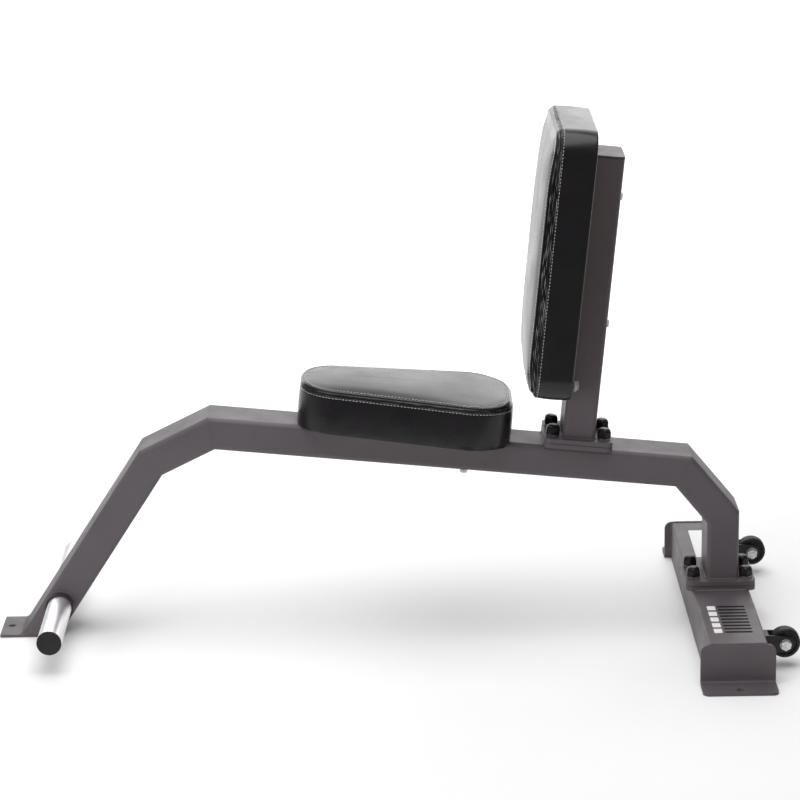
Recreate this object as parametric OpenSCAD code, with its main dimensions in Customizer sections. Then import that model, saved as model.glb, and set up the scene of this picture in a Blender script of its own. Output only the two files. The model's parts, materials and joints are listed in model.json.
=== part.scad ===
// Fixed upright utility bench: an arch of rectangular tube carries a tapered seat and an upright backrest,
// with foot pegs at the front and a wide rear base with two transport wheels.
// Millimetres. +Z is up, the sitter faces -Y, and +X is the sitter's left. The origin is on the floor,
// in the middle of the bench's length and width.

/* [Overall] */
// Length from the front edge of the foot plate to the back of the wheels
overall_l = 1468; // [1440:1:1500]
// Width of the rear base over the outer faces of its end plates
base_l = 696; // [640:1:760]

/* [Frame tube] */
// Width of the tube, across the bench
tube_w = 100; // [96:1:110]
// Depth of the tube, in the side view
tube_d = 60; // [58:1:64]
// Wall of the tube
tube_t = 3; // [2:0.5:4]
// Outer corner radius of the tube
tube_r = 9; // [6:0.5:12]

/* [Side profile] */
// Angle of the front leg above the floor
front_leg_angle = 56.8; // [54:0.1:60]
// Length of the front shoulder between its bends
front_shoulder_l = 126; // [110:1:140]
// Angle of the front shoulder above the floor
front_shoulder_angle = 26; // [22:0.5:30]
// Length of the beam between its bends
beam_l = 875; // [860:1:890]
// Fall of the beam towards the rear, in degrees
beam_fall = 5.74; // [4:0.02:7]
// Length of the rear shoulder between its bends
rear_shoulder_l = 116; // [105:1:125]
// Steepness of the rear shoulder, in degrees
rear_shoulder_angle = 50.6; // [48:0.2:54]
// Height of the bend at the top of the rear leg
rear_bend_z = 212.6; // [206:0.2:220]
// How far the rear leg stands behind the middle of the base
rear_leg_shift = 4; // [0:0.5:5]

/* [Floor fixings] */
// Thickness of the front foot plate and of the base end plates
foot_t = 5; // [4:0.5:6]
// Length of the front foot plate
foot_plate_l = 114; // [112:1:125]
// Radius of a floor bolt hole
floor_hole_r = 6.75; // [5.5:0.25:8]
// Distance from a floor bolt hole's centre to the edge of its plate
floor_hole_inset = 17; // [14:1:22]

/* [Rear base] */
// Height of the base
base_h = 75; // [72:1:80]
// Width of the base channel
channel_w = 108; // [106:1:114]
// Thickness of the channel's sheet
channel_t = 4; // [3:0.5:5]
// Outer bend radius of the channel
channel_r = 6; // [5:0.5:8]
// Width of an end plate
end_plate_w = 134; // [130:1:140]
// Radius of the end plate's upper corners
end_plate_r = 14; // [8:1:18]
// Length of the floor tab beyond the end plate
tab_l = 54; // [48:1:60]
// Radius of the tab's outer corners
tab_r = 12; // [6:1:14]
// Inner bend radius between end plate and tab
tab_bend_r = 5; // [3:0.5:7]

/* [Bolted flanges] */
// Thickness of each flange plate
flange_t = 9; // [8:0.5:10]
// Width of the flange plates, across the bench
flange_w = 126; // [122:1:130]
// Length of the plates under the backrest post
post_flange_l = 125; // [122:1:128]
// Length of the plates under the rear leg
leg_flange_l = 129; // [126:1:132]
// Corner radius of the flange plates
flange_r = 12; // [6:1:14]
// Bolt spacing across the bench
bolt_dx = 64; // [60:1:68]
// Bolt spacing along the beam
post_bolt_dy = 95; // [94:1:97]
// Bolt spacing on the base
leg_bolt_dy = 98; // [96:1:100]

/* [Backrest] */
// Distance from the front bend of the beam to the middle of the post
post_s = 674; // [668:1:680]
// Height of the post above the beam
post_h = 549; // [540:1:560]
// Height of the backrest's lower edge above the beam
back_from = 105; // [98:1:112]
// Length of the backrest
back_l = 499; // [490:1:510]
// Width of the backrest at its lower edge
back_w_low = 284; // [270:1:300]
// Width of the backrest at its upper edge
back_w_high = 308; // [296:1:320]
// Radius of the backrest's lower corners
back_r_low = 46; // [35:1:55]
// Radius of the backrest's upper corners
back_r_high = 44; // [35:1:55]
// Thickness of the backrest cushion
back_t = 82; // [76:1:88]

/* [Seat] */
// Distance from the front bend of the beam to the seat's front edge
seat_from = 156; // [150:1:162]
// Length of the seat
seat_l = 392; // [385:1:400]
// Width of the seat at its front edge
seat_w_front = 166; // [160:1:176]
// Width of the seat at its rear edge
seat_w_rear = 270; // [260:1:280]
// Radius of the seat's front corners
seat_r_front = 70; // [60:1:74]
// Radius of the seat's rear corners
seat_r_rear = 78; // [60:1:84]
// Thickness of the seat cushion
seat_t = 84; // [76:1:88]
// Thickness of the plywood boards in both cushions
board_t = 15; // [12:1:16]
// Rim of cushion around each board
board_rim = 4; // [3:0.5:6]

/* [Foot pegs] */
// Outer radius of the peg tube
peg_r = 22.5; // [20:0.5:23]
// Wall of the peg tube
peg_t = 2; // [1.5:0.25:2.5]
// Length of the peg tube
peg_l = 500; // [460:5:540]
// Height of the peg tube's axis
peg_z = 62.4; // [58:0.2:66]
// Outer radius of the welded sleeve
sleeve_r = 26; // [25.5:0.25:26.5]
// How far the sleeve stands out of the leg on each side
sleeve_out = 15; // [10:1:20]

/* [Wheels] */
// Radius of a wheel
wheel_r = 27.5; // [26:0.5:29]
// Width of a wheel
wheel_w = 24; // [20:1:26]
// Distance from the bench's centre plane to each wheel
wheel_x = 254; // [230:1:280]
// Height of the wheel axles
axle_z = 45; // [42:0.5:50]
// Distance from the middle of the base back to the axles
axle_back = 94; // [92:1:98]
// Radius of the axle bolt
axle_r = 5; // [4:0.5:6]

/* [Hidden] */
$fn = 64;

// Colours
paint = [0.30, 0.29, 0.30];
vinyl = [0.10, 0.10, 0.11];
plastic = [0.07, 0.07, 0.07];
chrome = [0.85, 0.85, 0.87];
zinc = [0.72, 0.72, 0.74];
wood = [0.72, 0.56, 0.38];

// Metric fasteners, by thread radius: half the spanner size as a corner radius, head, nut, washer
m12_r = 6;
m12_corner_r = 18 / 2 / cos(30);
m12_nut_h = 10.8;
m12_washer_r = 12;
m12_washer_t = 2.5;
m8_r = 4;
m8_corner_r = 13 / 2 / cos(30);
m8_head_h = 5.3;
m8_washer_r = 9;
m8_washer_t = 1.6;
m10_corner_r = 17 / 2 / cos(30);
m10_head_h = 6.4;
m10_nut_h = 9.5;
m10_washer_r = 10.5;
m10_washer_t = 2;
m6_r = 3;
m6_corner_r = 10 / 2 / cos(30);
m6_nut_h = 5.2;
m6_head_r = 5.5;
m6_head_h = 3.2;
thread_end = 3;
thread_gap = 0.05;
hole_gap = 0.75;
weld_gap = 0.1;

// Black nut caps
cap_corner_r = 24 / 2 / cos(30);
cap_h = 17.5;
cap_edge_r = 4;
cap_fit = 0.2;

// Tee nuts in the boards
tee_r = 5.2;
tee_flange_r = 11;
tee_flange_t = 1.5;

// Side profile of the arch as (Y, Z) points, from the foot up over the beam and down to the base
base_y = overall_l / 2 - wheel_r - axle_back;
front_y = -overall_l / 2;
slope = [front_leg_angle, front_shoulder_angle, -beam_fall, -rear_shoulder_angle, -90];
function dir(a) = [cos(a), sin(a)];
function normal(a) = [-sin(a), cos(a)];
bend_4 = [base_y + rear_leg_shift, rear_bend_z];
bend_3 = bend_4 - rear_shoulder_l * dir(slope[3]);
bend_2 = bend_3 - beam_l * dir(slope[2]);
bend_1 = bend_2 - front_shoulder_l * dir(slope[1]);
function on_front_leg(z) = bend_1 + dir(slope[0]) * (z - bend_1.y) / sin(slope[0]);
leg_low = base_h + 2 * flange_t;
path = [on_front_leg(foot_t), bend_1, bend_2, bend_3, bend_4, [bend_4.x, leg_low]];
function unit(v) = v / norm(v);
function cut_line(i) =
    i == 0 ? [-1, 0] : i == len(slope) ? [1, 0] : unit(normal(slope[i - 1]) + normal(slope[i]));
cut_reach = 60;

post_front = post_s - tube_d / 2;
seat_bolt_at = [[0, 262], [-35, 469], [35, 469]];
back_bolt_n = [229, 468];
hinge_gap = 1;
bush_r = 8;
bush_play = 0.3;
arm_t = 3;
arm_end_r = 14;
bracket_h = 34;
bracket_back_t = 4;
bracket_web = 10;
bracket_in = wheel_w / 2 + hinge_gap;
bracket_screw_z = [-7, 7];
channel_back = base_y + channel_w / 2;

// ---- shared shapes ----

// Rectangle with round corners, centred
module rounded_rect(w, d, r) {
    square([w - 2 * r, d], center = true);
    square([w, d - 2 * r], center = true);
    for (sx = [-1, 1], sy = [-1, 1])
        translate([sx * (w / 2 - r), sy * (d / 2 - r)]) circle(r);
}

// Cross-section of the frame tube
module tube_section() {
    difference() {
        rounded_rect(tube_w, tube_d, tube_r);
        rounded_rect(tube_w - 2 * tube_t, tube_d - 2 * tube_t, tube_r - tube_t);
    }
}

// A (Y, Z) polygon as a prism across the bench
module side_prism(points, w) {
    rotate([90, 0, 90]) linear_extrude(w, center = true) polygon(points);
}

// One length of the arch, mitred on the planes that halve its bends
module arch_tube(i) {
    a = path[i];
    b = path[i + 1];
    ca = cut_line(i) * cut_reach;
    cb = cut_line(i + 1) * cut_reach;
    intersection() {
        translate([0, a.x, a.y]) rotate([slope[i] - 90, 0, 0])
            translate([0, 0, -cut_reach])
                linear_extrude(norm(b - a) + 2 * cut_reach) tube_section();
        side_prism([a - ca, a + ca, b + cb, b - cb], tube_w + 2);
    }
}

// Coordinates on the beam: Y runs back along it from its front bend, Z is height above its top face
module on_beam() {
    translate([0, bend_2.x, bend_2.y]) rotate([-beam_fall, 0, 0])
        translate([0, 0, tube_d / 2]) children();
}

// Coordinates on the base: Z is height above its top face
module on_base() {
    translate([0, base_y, base_h]) children();
}

// Children at the four bolts of a flange
module at_bolts(dy) {
    for (sx = [-1, 1], sy = [-1, 1]) translate([sx * bolt_dx / 2, sy * dy / 2, 0]) children();
}

// Flange plate with four round holes
module flange_plate(l, dy, hole_r) {
    linear_extrude(flange_t) difference() {
        rounded_rect(flange_w, l, flange_r);
        at_bolts(dy) circle(hole_r);
    }
}

module washer(outer_r, thread_r, t) {
    linear_extrude(t) difference() {
        circle(outer_r);
        circle(thread_r + hole_gap / 2);
    }
}

module hex_nut(corner_r, thread_r, h) {
    difference() {
        cylinder(r = corner_r, h = h, $fn = 6);
        translate([0, 0, -1]) cylinder(r = thread_r + thread_gap, h = h + 2);
    }
}

// Hex bolt standing on its head's lower face, shank upwards
module hex_bolt(corner_r, head_h, thread_r, shank_l) {
    translate([0, 0, -head_h]) cylinder(r = corner_r, h = head_h, $fn = 6);
    cylinder(r = thread_r, h = shank_l);
}

// Hollow hexagonal cap with a rounded top that hides a nut and its thread end
module nut_cap() {
    difference() {
        intersection() {
            cylinder(r = cap_corner_r, h = cap_h, $fn = 6);
            rotate_extrude() {
                square([cap_corner_r, cap_h - cap_edge_r]);
                square([cap_corner_r - cap_edge_r, cap_h]);
                translate([cap_corner_r - cap_edge_r, cap_h - cap_edge_r]) intersection() {
                    circle(cap_edge_r);
                    square(cap_edge_r);
                }
            }
        }
        translate([0, 0, -1]) cylinder(r = m12_corner_r + cap_fit, h = m12_nut_h + cap_fit + 1, $fn = 6);
        cylinder(r = m12_r + 2 * cap_fit, h = m12_nut_h + thread_end + cap_fit);
    }
}

// Trapezium with round corners: width w0 at y = 0, width w1 at y = l, symmetric about x = 0
module tapered_outline(w0, w1, l, r0, r1) {
    rise = (w1 - w0) / 2;
    taper = atan(rise / l);
    side = [cos(taper), -sin(taper)];
    c0 = [w0 / 2 + rise * r0 / l - r0 / cos(taper), r0];
    c1 = [w0 / 2 + rise * (l - r1) / l - r1 / cos(taper), l - r1];
    t0 = c0 + r0 * side;
    t1 = c1 + r1 * side;
    polygon([[-c0.x, 0], [c0.x, 0], t0, t1, [c1.x, l], [-c1.x, l], [-t1.x, t1.y], [-t0.x, t0.y]]);
    for (sx = [-1, 1]) {
        translate([sx * c0.x, c0.y]) circle(r0);
        translate([sx * c1.x, c1.y]) circle(r1);
    }
}

// Tee nut: barrel up through the board, flange on the board's upper face
module tee_nut() {
    difference() {
        union() {
            translate([0, 0, 2]) cylinder(r = tee_r, h = board_t - 2);
            translate([0, 0, board_t]) cylinder(r = tee_flange_r, h = tee_flange_t);
        }
        cylinder(r = m8_r + thread_gap, h = board_t + tee_flange_t + 1);
    }
}

// ---- arch ----

module front_foot_plate() {
    color(paint) linear_extrude(foot_t) difference() {
        translate([0, front_y + foot_plate_l / 2]) square([tube_w, foot_plate_l], center = true);
        translate([0, front_y + floor_hole_inset]) circle(floor_hole_r);
    }
}

module front_leg_tube() {
    peg = on_front_leg(peg_z);
    color(paint) difference() {
        arch_tube(0);
        translate([0, peg.x, peg.y]) rotate([0, 90, 0])
            cylinder(r = sleeve_r + weld_gap, h = tube_w + 2, center = true);
    }
}

module front_shoulder_tube() {
    color(paint) arch_tube(1);
}

module beam_tube() {
    color(paint) difference() {
        arch_tube(2);
        on_beam() for (p = seat_bolt_at)
            translate([p.x, p.y, -tube_d - 1]) cylinder(r = m8_r + hole_gap, h = tube_d + 2);
    }
}

module rear_shoulder_tube() {
    color(paint) arch_tube(3);
}

module rear_leg_tube() {
    color(paint) arch_tube(4);
}

// ---- rear base ----

module rear_leg_flange() {
    color(paint) on_base() translate([0, 0, flange_t]) flange_plate(leg_flange_l, leg_bolt_dy, m12_r + hole_gap);
}

module base_mount_plate() {
    color(paint) on_base() flange_plate(leg_flange_l, leg_bolt_dy, m12_r + weld_gap);
}

// Section of the channel, an inverted U with its walls just clear of the floor
module channel_section() {
    floor_gap = 1.5;
    module shell(w, top, r) {
        translate([0, floor_gap - 1]) union() {
            translate([-w / 2, 0]) square([w, top - r - floor_gap + 1]);
            translate([-w / 2 + r, 0]) square([w - 2 * r, top - floor_gap + 1]);
        }
        for (sx = [-1, 1]) translate([sx * (w / 2 - r), top - r]) circle(r);
    }
    difference() {
        shell(channel_w, base_h, channel_r);
        shell(channel_w - 2 * channel_t, base_h - channel_t, channel_r - channel_t);
        translate([-channel_w, -channel_w]) square([2 * channel_w, channel_w + floor_gap]);
    }
}

module base_channel() {
    color(paint) difference() {
        translate([0, base_y, 0]) rotate([90, 0, 90])
            linear_extrude(base_l - 2 * foot_t, center = true) channel_section();
        for (sx = [-1, 1], z = bracket_screw_z)
            translate([sx * wheel_x, channel_back - 2 * channel_t, axle_z + z]) rotate([-90, 0, 0])
                cylinder(r = m6_r + hole_gap / 2, h = 3 * channel_t);
    }
}

// End plate on the +X side: upright wall, outward bend and floor tab with a bolt hole
module end_plate() {
    outer_r = tab_bend_r + foot_t;
    wall = base_l / 2;
    difference() {
        intersection() {
            translate([0, base_y, 0]) rotate([90, 0, 0]) linear_extrude(end_plate_w, center = true) {
                translate([wall - foot_t, outer_r]) square([foot_t, base_h - outer_r]);
                translate([wall + tab_bend_r, 0]) square([tab_l - tab_bend_r, foot_t]);
                translate([wall + tab_bend_r, outer_r]) intersection() {
                    difference() {
                        circle(outer_r);
                        circle(tab_bend_r);
                    }
                    translate([-outer_r, -outer_r]) square(outer_r);
                }
            }
            translate([wall, base_y, 0]) rotate([90, 0, 90])
                linear_extrude(4 * tab_l, center = true) translate([0, base_h - 2 * base_h])
                    rounded_rect(end_plate_w, 4 * base_h, end_plate_r);
            translate([wall + tab_l - 2 * tab_l, base_y, -1])
                linear_extrude(base_h + 2) rounded_rect(4 * tab_l, end_plate_w, tab_r);
        }
        translate([wall + tab_l - floor_hole_inset, base_y, -1]) cylinder(r = floor_hole_r, h = foot_t + 2);
    }
}

module left_end_plate() {
    color(paint) end_plate();
}

module right_end_plate() {
    color(paint) mirror([1, 0, 0]) end_plate();
}

// ---- backrest post ----

module post_mount_plate() {
    color(paint) on_beam() translate([0, post_s, 0])
        flange_plate(post_flange_l, post_bolt_dy, m12_r + weld_gap);
}

module post_flange() {
    color(paint) on_beam() translate([0, post_s, flange_t])
        flange_plate(post_flange_l, post_bolt_dy, m12_r + hole_gap);
}

post_cap_t = 3;
post_cap_plug = 20;

module backrest_post() {
    color(paint) on_beam() difference() {
        translate([0, post_s, 2 * flange_t])
            linear_extrude(post_h - 2 * flange_t - post_cap_t) tube_section();
        for (n = back_bolt_n) translate([0, post_s, n]) rotate([90, 0, 0])
            cylinder(r = m8_r + hole_gap, h = tube_d + 2, center = true);
    }
}

module post_top_cap() {
    fit = 2 * (tube_t + cap_fit);
    wall = 4;
    color(paint) on_beam() translate([0, post_s, post_h - post_cap_t]) {
        linear_extrude(post_cap_t) rounded_rect(tube_w, tube_d, tube_r);
        translate([0, 0, -post_cap_plug]) linear_extrude(post_cap_plug) difference() {
            rounded_rect(tube_w - fit, tube_d - fit, tube_r - tube_t);
            square([tube_w - fit - wall, tube_d - fit - wall], center = true);
        }
    }
}

// ---- foot pegs ----

module at_peg() {
    peg = on_front_leg(peg_z);
    translate([0, peg.x, peg.y]) rotate([0, 90, 0]) children();
}

module peg_sleeve() {
    color(plastic) at_peg() linear_extrude(tube_w + 2 * sleeve_out, center = true) difference() {
        circle(sleeve_r);
        circle(peg_r + 2 * weld_gap);
    }
}

module foot_peg_tube() {
    color(chrome) at_peg() linear_extrude(peg_l, center = true) difference() {
        circle(peg_r);
        circle(peg_r - peg_t);
    }
}

module peg_cap() {
    flange = 2.2;
    plug = 15;
    at_peg() translate([0, 0, peg_l / 2]) {
        cylinder(r = peg_r, h = flange);
        translate([0, 0, -plug]) cylinder(r = peg_r - peg_t - weld_gap, h = plug + flange / 2);
    }
}

module left_peg_cap() {
    color(plastic) peg_cap();
}

module right_peg_cap() {
    color(plastic) mirror([1, 0, 0]) peg_cap();
}

// ---- flange fasteners ----

// Height of the washer's upper face over the stack of two plates
stack_top = 2 * flange_t + m12_washer_t;
stud_top = stack_top + m12_nut_h + thread_end;

module post_studs() {
    color(zinc) on_beam() translate([0, post_s, 0]) at_bolts(post_bolt_dy)
        translate([0, 0, 1]) cylinder(r = m12_r, h = stud_top - 1);
}

module post_stud_washers() {
    color(zinc) on_beam() translate([0, post_s, 2 * flange_t]) at_bolts(post_bolt_dy)
        washer(m12_washer_r, m12_r, m12_washer_t);
}

module post_stud_nuts() {
    color(zinc) on_beam() translate([0, post_s, stack_top]) at_bolts(post_bolt_dy)
        hex_nut(m12_corner_r, m12_r, m12_nut_h);
}

module post_nut_caps() {
    color(plastic) on_beam() translate([0, post_s, stack_top]) at_bolts(post_bolt_dy) nut_cap();
}

module base_studs() {
    color(zinc) on_base() at_bolts(leg_bolt_dy)
        translate([0, 0, 1]) cylinder(r = m12_r, h = stud_top - 1);
}

module base_stud_washers() {
    color(zinc) on_base() translate([0, 0, 2 * flange_t]) at_bolts(leg_bolt_dy)
        washer(m12_washer_r, m12_r, m12_washer_t);
}

module base_stud_nuts() {
    color(zinc) on_base() translate([0, 0, stack_top]) at_bolts(leg_bolt_dy)
        hex_nut(m12_corner_r, m12_r, m12_nut_h);
}

module base_nut_caps() {
    color(plastic) on_base() translate([0, 0, stack_top]) at_bolts(leg_bolt_dy) nut_cap();
}

// ---- seat ----

module seat_outline(rim) {
    translate([0, seat_from + rim]) tapered_outline(
        seat_w_front - 2 * rim, seat_w_rear - 2 * rim, seat_l - 2 * rim, seat_r_front - rim, seat_r_rear - rim);
}

module seat_board() {
    color(wood) on_beam() linear_extrude(board_t) difference() {
        seat_outline(board_rim);
        for (p = seat_bolt_at) translate(p) circle(tee_r + weld_gap);
    }
}

module seat_cushion() {
    color(vinyl) on_beam() difference() {
        linear_extrude(seat_t) seat_outline(0);
        translate([0, 0, -1]) linear_extrude(board_t + 1) seat_outline(board_rim);
        for (p = seat_bolt_at) translate([p.x, p.y, 0])
            cylinder(r = tee_flange_r + hole_gap, h = board_t + 2 * tee_flange_t);
    }
}

module at_seat_bolts() {
    on_beam() for (p = seat_bolt_at) translate([p.x, p.y, 0]) children();
}

module seat_bolts() {
    color(zinc) at_seat_bolts() translate([0, 0, -tube_d - m8_washer_t])
        hex_bolt(m8_corner_r, m8_head_h, m8_r, tube_d + m8_washer_t + board_t);
}

module seat_bolt_washers() {
    color(zinc) at_seat_bolts() translate([0, 0, -tube_d - m8_washer_t])
        washer(m8_washer_r, m8_r, m8_washer_t);
}

module seat_tee_nuts() {
    color(zinc) at_seat_bolts() tee_nut();
}

// ---- backrest ----

// Coordinates on the backrest: Y is height above the beam and Z is distance in front of the post
module on_back() {
    on_beam() translate([0, post_front, 0]) rotate([90, 0, 0]) children();
}

module back_outline(rim) {
    translate([0, back_from + rim]) tapered_outline(
        back_w_low - 2 * rim, back_w_high - 2 * rim, back_l - 2 * rim, back_r_low - rim, back_r_high - rim);
}

module at_back_bolts() {
    on_back() for (n = back_bolt_n) translate([0, n, 0]) children();
}

module backrest_board() {
    color(wood) on_back() linear_extrude(board_t) difference() {
        back_outline(board_rim);
        for (n = back_bolt_n) translate([0, n]) circle(tee_r + weld_gap);
    }
}

module backrest_cushion() {
    color(vinyl) on_back() difference() {
        linear_extrude(back_t) back_outline(0);
        translate([0, 0, -1]) linear_extrude(board_t + 1) back_outline(board_rim);
        for (n = back_bolt_n) translate([0, n, 0])
            cylinder(r = tee_flange_r + hole_gap, h = board_t + 2 * tee_flange_t);
    }
}

module backrest_bolts() {
    color(zinc) at_back_bolts() translate([0, 0, -tube_d - m8_washer_t])
        hex_bolt(m8_corner_r, m8_head_h, m8_r, tube_d + m8_washer_t + board_t);
}

module backrest_bolt_washers() {
    color(zinc) at_back_bolts() translate([0, 0, -tube_d - m8_washer_t])
        washer(m8_washer_r, m8_r, m8_washer_t);
}

module backrest_tee_nuts() {
    color(zinc) at_back_bolts() tee_nut();
}

// ---- transport wheels ----

// Coordinates at the axle on one side, with Z pointing away from the bench's centre plane
module at_axle(side) {
    mirror([side < 0 ? 1 : 0, 0, 0]) translate([wheel_x, base_y + axle_back, axle_z])
        rotate([0, 90, 0]) children();
}

// Bracket: a back plate on the channel with a short top flange, and two arms with round ends
module wheel_bracket() {
    arm_l = axle_back - channel_w / 2;
    translate([wheel_x, base_y + axle_back, axle_z]) difference() {
        union() {
            for (sx = [-1, 1]) translate([sx * (bracket_in + arm_t / 2), 0, 0]) {
                rotate([0, 90, 0]) cylinder(r = arm_end_r, h = arm_t, center = true);
                side_prism([
                    [0, -arm_end_r], [0, arm_end_r], [-arm_l / 2, bracket_h / 2],
                    [-arm_l, bracket_h / 2], [-arm_l, -bracket_h / 2], [-arm_l / 2, -bracket_h / 2]
                ], arm_t);
            }
            translate([-bracket_in, -arm_l, -bracket_h / 2])
                cube([2 * bracket_in, bracket_back_t, bracket_h]);
            translate([-bracket_in, -arm_l, bracket_h / 2 - bracket_back_t])
                cube([2 * bracket_in, bracket_web, bracket_back_t]);
        }
        rotate([0, 90, 0]) cylinder(r = axle_r + hole_gap / 2, h = 4 * wheel_w, center = true);
        for (z = bracket_screw_z) translate([0, -arm_l, z]) rotate([90, 0, 0])
            cylinder(r = m6_r + hole_gap / 2, h = 4 * bracket_back_t, center = true);
    }
}

module left_wheel_bracket() {
    color(plastic) wheel_bracket();
}

module right_wheel_bracket() {
    color(plastic) mirror([1, 0, 0]) wheel_bracket();
}

// Children at each bracket screw, with Z pointing forwards into the channel
module at_bracket_screws() {
    for (sx = [-1, 1], z = bracket_screw_z)
        translate([sx * wheel_x, channel_back + bracket_back_t, axle_z + z]) rotate([90, 0, 0]) children();
}

bracket_grip = bracket_back_t + channel_t;

module bracket_screws() {
    color(zinc) at_bracket_screws() {
        translate([0, 0, -m6_head_h]) cylinder(r = m6_head_r, h = m6_head_h);
        cylinder(r = m6_r, h = bracket_grip + m6_nut_h + 1);
    }
}

module bracket_screw_nuts() {
    color(zinc) at_bracket_screws() translate([0, 0, bracket_grip]) hex_nut(m6_corner_r, m6_r, m6_nut_h);
}

// Outer face of the bracket arms, from the middle of the wheel
arm_out = bracket_in + arm_t;

module axle_bolt(side) {
    color(zinc) at_axle(side) translate([0, 0, arm_out + m10_washer_t]) mirror([0, 0, 1])
        hex_bolt(m10_corner_r, m10_head_h, axle_r, 2 * (arm_out + m10_washer_t) + m10_nut_h + 1);
}

module left_axle_bolt() {
    axle_bolt(1);
}

module right_axle_bolt() {
    axle_bolt(-1);
}

module axle_washers() {
    color(zinc) for (side = [-1, 1]) at_axle(side) {
        translate([0, 0, arm_out]) washer(m10_washer_r, axle_r, m10_washer_t);
        translate([0, 0, -arm_out - m10_washer_t]) washer(m10_washer_r, axle_r, m10_washer_t);
    }
}

module axle_nuts() {
    color(zinc) for (side = [-1, 1]) at_axle(side)
        translate([0, 0, -arm_out - m10_washer_t - m10_nut_h]) hex_nut(m10_corner_r, axle_r, m10_nut_h);
}

// Solid roller with rounded shoulders and a shallow dish in each face
module wheel() {
    shoulder = 3;
    dish = 2;
    half = wheel_w / 2;
    rotate_extrude() difference() {
        translate([bush_r, -half]) union() {
            square([wheel_r - bush_r - shoulder, wheel_w]);
            translate([0, shoulder]) square([wheel_r - bush_r, wheel_w - 2 * shoulder]);
            for (z = [shoulder, wheel_w - shoulder])
                translate([wheel_r - bush_r - shoulder, z]) circle(shoulder);
        }
        for (z = [-half - 1, half - dish]) translate([bush_r + 4, z]) square([8, dish + 1]);
    }
}

module wheel_bush() {
    linear_extrude(2 * (bracket_in - bush_play), center = true) difference() {
        circle(bush_r);
        circle(axle_r + thread_gap);
    }
}

module left_wheel() {
    color(plastic) at_axle(1) wheel();
}

module left_wheel_bush() {
    color(zinc) at_axle(1) wheel_bush();
}

module right_wheel() {
    color(plastic) at_axle(-1) wheel();
}

module right_wheel_bush() {
    color(zinc) at_axle(-1) wheel_bush();
}

front_foot_plate();
front_leg_tube();
front_shoulder_tube();
beam_tube();
rear_shoulder_tube();
rear_leg_tube();
rear_leg_flange();
base_mount_plate();
base_channel();
left_end_plate();
right_end_plate();
post_mount_plate();
post_flange();
backrest_post();
post_top_cap();
peg_sleeve();
foot_peg_tube();
left_peg_cap();
right_peg_cap();
post_studs();
post_stud_washers();
post_stud_nuts();
post_nut_caps();
base_studs();
base_stud_washers();
base_stud_nuts();
base_nut_caps();
seat_board();
seat_cushion();
seat_bolts();
seat_bolt_washers();
seat_tee_nuts();
backrest_board();
backrest_cushion();
backrest_bolts();
backrest_bolt_washers();
backrest_tee_nuts();
left_wheel_bracket();
right_wheel_bracket();
bracket_screws();
bracket_screw_nuts();
left_axle_bolt();
right_axle_bolt();
axle_washers();
axle_nuts();
left_wheel();
left_wheel_bush();
right_wheel();
right_wheel_bush();
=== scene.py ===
"""Looks of the fixed upright utility bench: materials, upholstery, welds, stage and camera.

Metres, in the frame of the CAD model: +Z up, the sitter faces -Y, +X is the sitter's left.
"""

import json
import math

import bmesh
import bpy
from mathutils import Matrix, Vector, noise
from mathutils.kdtree import KDTree


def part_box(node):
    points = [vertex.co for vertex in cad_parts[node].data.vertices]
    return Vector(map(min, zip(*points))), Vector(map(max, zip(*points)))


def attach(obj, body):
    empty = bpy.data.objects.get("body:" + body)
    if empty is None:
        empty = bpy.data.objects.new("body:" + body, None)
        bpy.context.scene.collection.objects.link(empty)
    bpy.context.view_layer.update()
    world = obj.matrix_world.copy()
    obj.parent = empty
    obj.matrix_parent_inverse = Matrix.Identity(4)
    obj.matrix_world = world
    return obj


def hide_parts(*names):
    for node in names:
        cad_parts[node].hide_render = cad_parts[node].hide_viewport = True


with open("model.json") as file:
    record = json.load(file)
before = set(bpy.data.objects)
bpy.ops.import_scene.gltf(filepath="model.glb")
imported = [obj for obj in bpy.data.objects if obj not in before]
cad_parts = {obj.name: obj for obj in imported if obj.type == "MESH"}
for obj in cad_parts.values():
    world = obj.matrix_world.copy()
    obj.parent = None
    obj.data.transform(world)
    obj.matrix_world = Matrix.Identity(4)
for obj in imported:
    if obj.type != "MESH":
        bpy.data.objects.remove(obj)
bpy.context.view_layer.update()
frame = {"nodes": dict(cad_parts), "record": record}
nodes = frame["nodes"]
scene = bpy.context.scene
MM = 0.001

# ---- camera

CAMERA_AT = Vector((5.3018, 0.0038, 1.9603))
CAMERA_DOWN = math.radians(16.04)
CAMERA_YAW = math.radians(0.18)
CAMERA_ROLL = math.radians(-0.84)
CAMERA_LENS_MM, SENSOR_MM = 134.34, 36


def make_camera():
    """A long lens on the sitter's left, looking down a little."""
    level = math.cos(CAMERA_DOWN)
    ahead = Vector((-math.cos(CAMERA_YAW) * level, math.sin(CAMERA_YAW) * level, -math.sin(CAMERA_DOWN)))
    flat_right = Vector((math.sin(CAMERA_YAW), math.cos(CAMERA_YAW), 0))
    flat_up = flat_right.cross(ahead)
    turn, tip = math.cos(CAMERA_ROLL), math.sin(CAMERA_ROLL)
    right = flat_right * turn + flat_up * tip
    up = flat_up * turn - flat_right * tip
    data = bpy.data.cameras.new("camera")
    data.sensor_width = SENSOR_MM
    data.lens = CAMERA_LENS_MM
    data.clip_end = 100
    camera = bpy.data.objects.new("camera", data)
    axes = Matrix((right, up, -ahead)).transposed().to_4x4()
    camera.matrix_world = Matrix.Translation(CAMERA_AT) @ axes
    scene.collection.objects.link(camera)
    scene.camera = camera


make_camera()

# ---- stage

WORLD_FILL = 0.22
FLOOR_SIDE, FLOOR_FAR, FLOOR_NEAR = 14.0, -26.0, 1.15
FLOOR_DROP = 0.4 * MM
SWEEP_FROM, SWEEP_TO, SWEEP_GLOW = -0.6, -2.2, 1.5


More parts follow.
